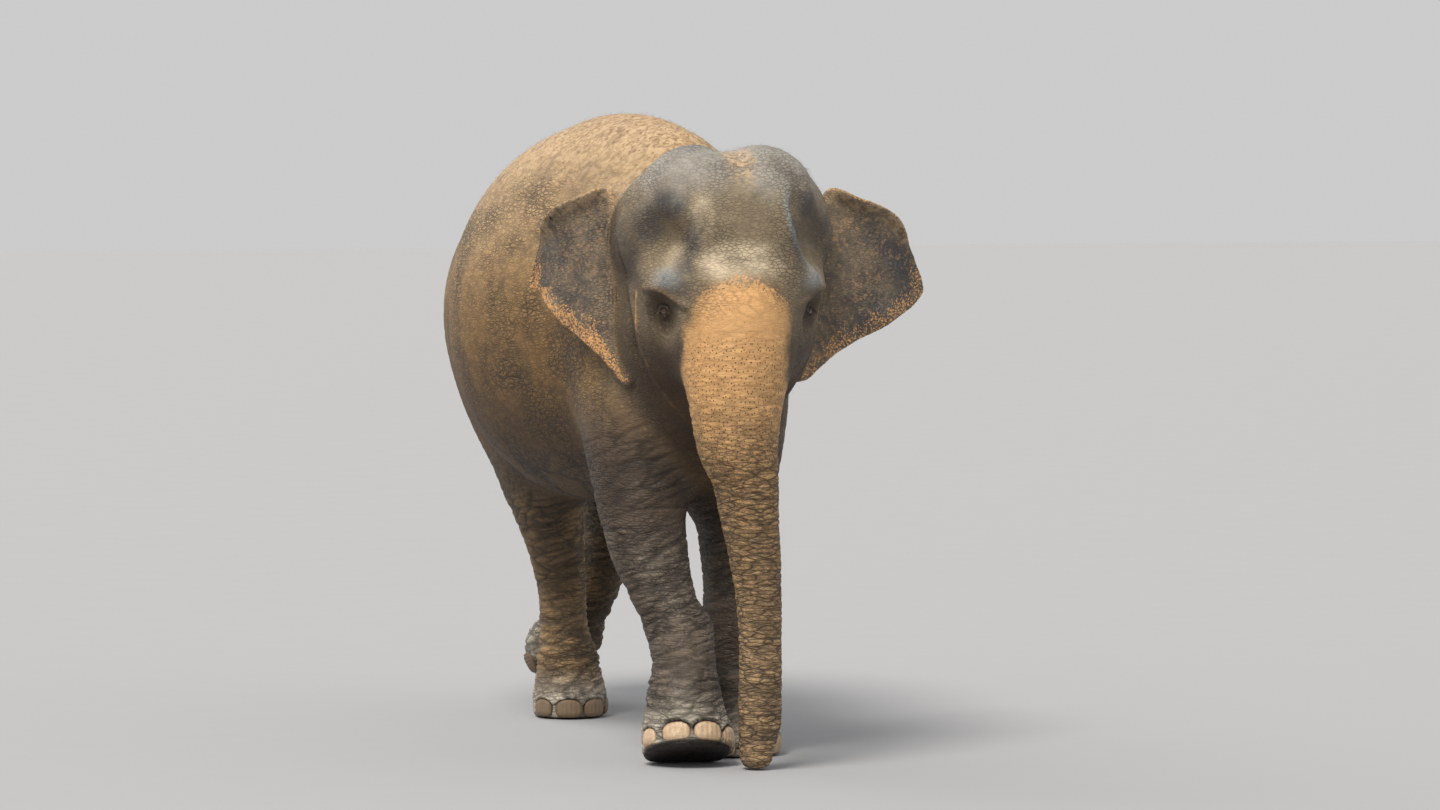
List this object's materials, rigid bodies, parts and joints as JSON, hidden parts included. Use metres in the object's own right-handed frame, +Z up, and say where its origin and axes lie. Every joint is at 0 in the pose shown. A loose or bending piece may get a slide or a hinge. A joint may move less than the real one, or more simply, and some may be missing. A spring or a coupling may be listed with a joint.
{
  "type": "asian elephant",
  "caption": "Life-size still model of an Asian elephant cow walking, head turned a little, ears half spread, trunk hanging to the floor.",
  "frame": {"origin": "on the floor, under the middle of the model's box", "axes": "+Z up, -Y to the front where the head looks, +X to the animal's left"},
  "size_m": [1.4814, 3.1032, 2.4363],
  "materials": {
    "skin": "dry, finely wrinkled, dusty",
    "eye": "wet gloss",
    "nail": "dull horn, faintly ridged",
    "hair": "coarse dark hair"
  },
  "bodies": {
    "root": {"torso": "skin", "neck": "skin", "head": "skin", "trunk_upper": "skin", "trunk_middle": "skin", "trunk_lower": "skin", "trunk_tip": "skin", "ear_left": "skin", "ear_right": "skin", "eye_left": "eye", "eye_right": "eye", "tail": "skin", "tail_tuft": "hair", "foreleg_left": "skin", "forefoot_left": "skin", "hindleg_left": "skin", "hindfoot_left": "skin", "nail_forefoot_left_1": "nail", "nail_forefoot_left_2": "nail", "nail_forefoot_left_3": "nail", "nail_forefoot_left_4": "nail", "nail_forefoot_left_5": "nail", "nail_hindfoot_left_1": "nail", "nail_hindfoot_left_2": "nail", "nail_hindfoot_left_3": "nail", "nail_hindfoot_left_4": "nail", "foreleg_right": "skin", "forefoot_right": "skin", "hindleg_right": "skin", "hindfoot_right": "skin", "nail_forefoot_right_1": "nail", "nail_forefoot_right_2": "nail", "nail_forefoot_right_3": "nail", "nail_forefoot_right_4": "nail", "nail_forefoot_right_5": "nail", "nail_hindfoot_right_1": "nail", "nail_hindfoot_right_2": "nail", "nail_hindfoot_right_3": "nail", "nail_hindfoot_right_4": "nail"}
  },
  "joints": []
}
